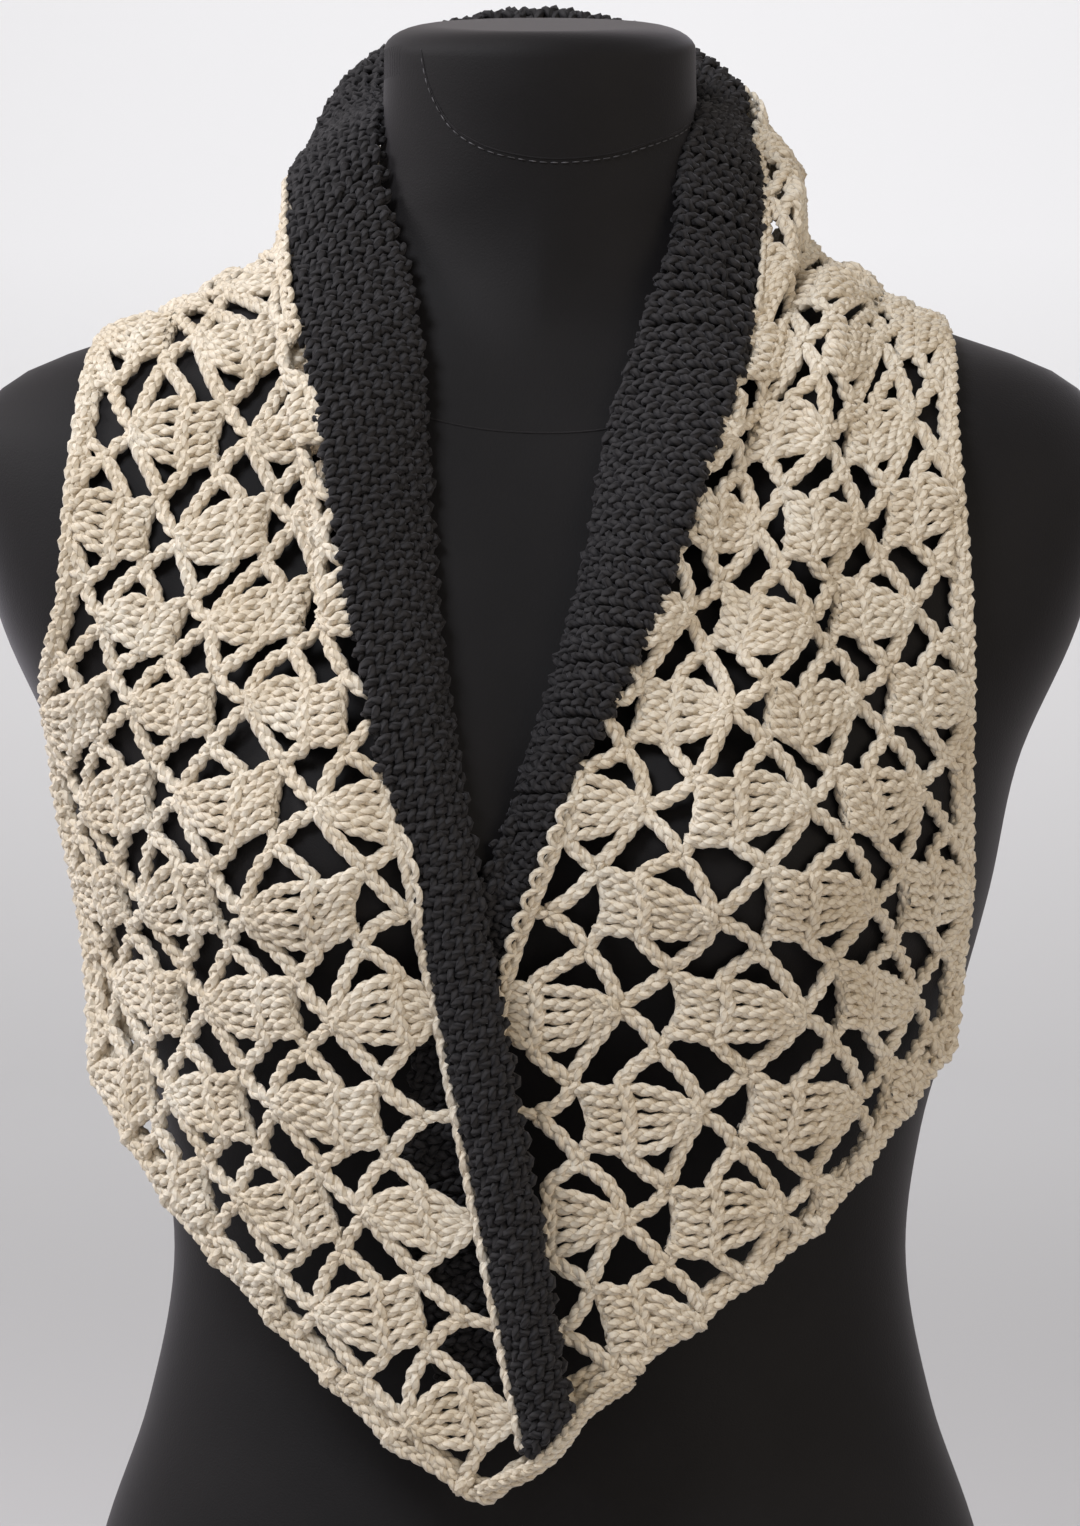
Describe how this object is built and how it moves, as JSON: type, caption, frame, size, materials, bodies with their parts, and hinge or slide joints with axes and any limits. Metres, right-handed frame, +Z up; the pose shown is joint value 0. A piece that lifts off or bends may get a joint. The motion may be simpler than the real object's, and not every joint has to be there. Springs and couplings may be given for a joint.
{
  "type": "infinity scarf on dress form",
  "caption": "Ring scarf of open crocheted lace with a solid dark inner band and a chained outer edge, worn on a limbless dress form.",
  "frame": {"origin": "centre of the footprint at the dress form's flat base", "axes": "+Z up along the form, -Y towards the front, +X to the right as seen from the front"},
  "size_m": [0.4008, 0.2566, 0.6414],
  "materials": {
    "yarn_cream": "worsted yarn",
    "yarn_black": "worsted yarn",
    "jersey_black": "knitted jersey"
  },
  "bodies": {
    "root": {"band_left": "yarn_black", "band_right": "yarn_black", "dress_form": "jersey_black", "edging_left": "yarn_cream", "edging_right": "yarn_cream", "lace_left": "yarn_cream", "lace_right": "yarn_cream"}
  },
  "joints": []
}
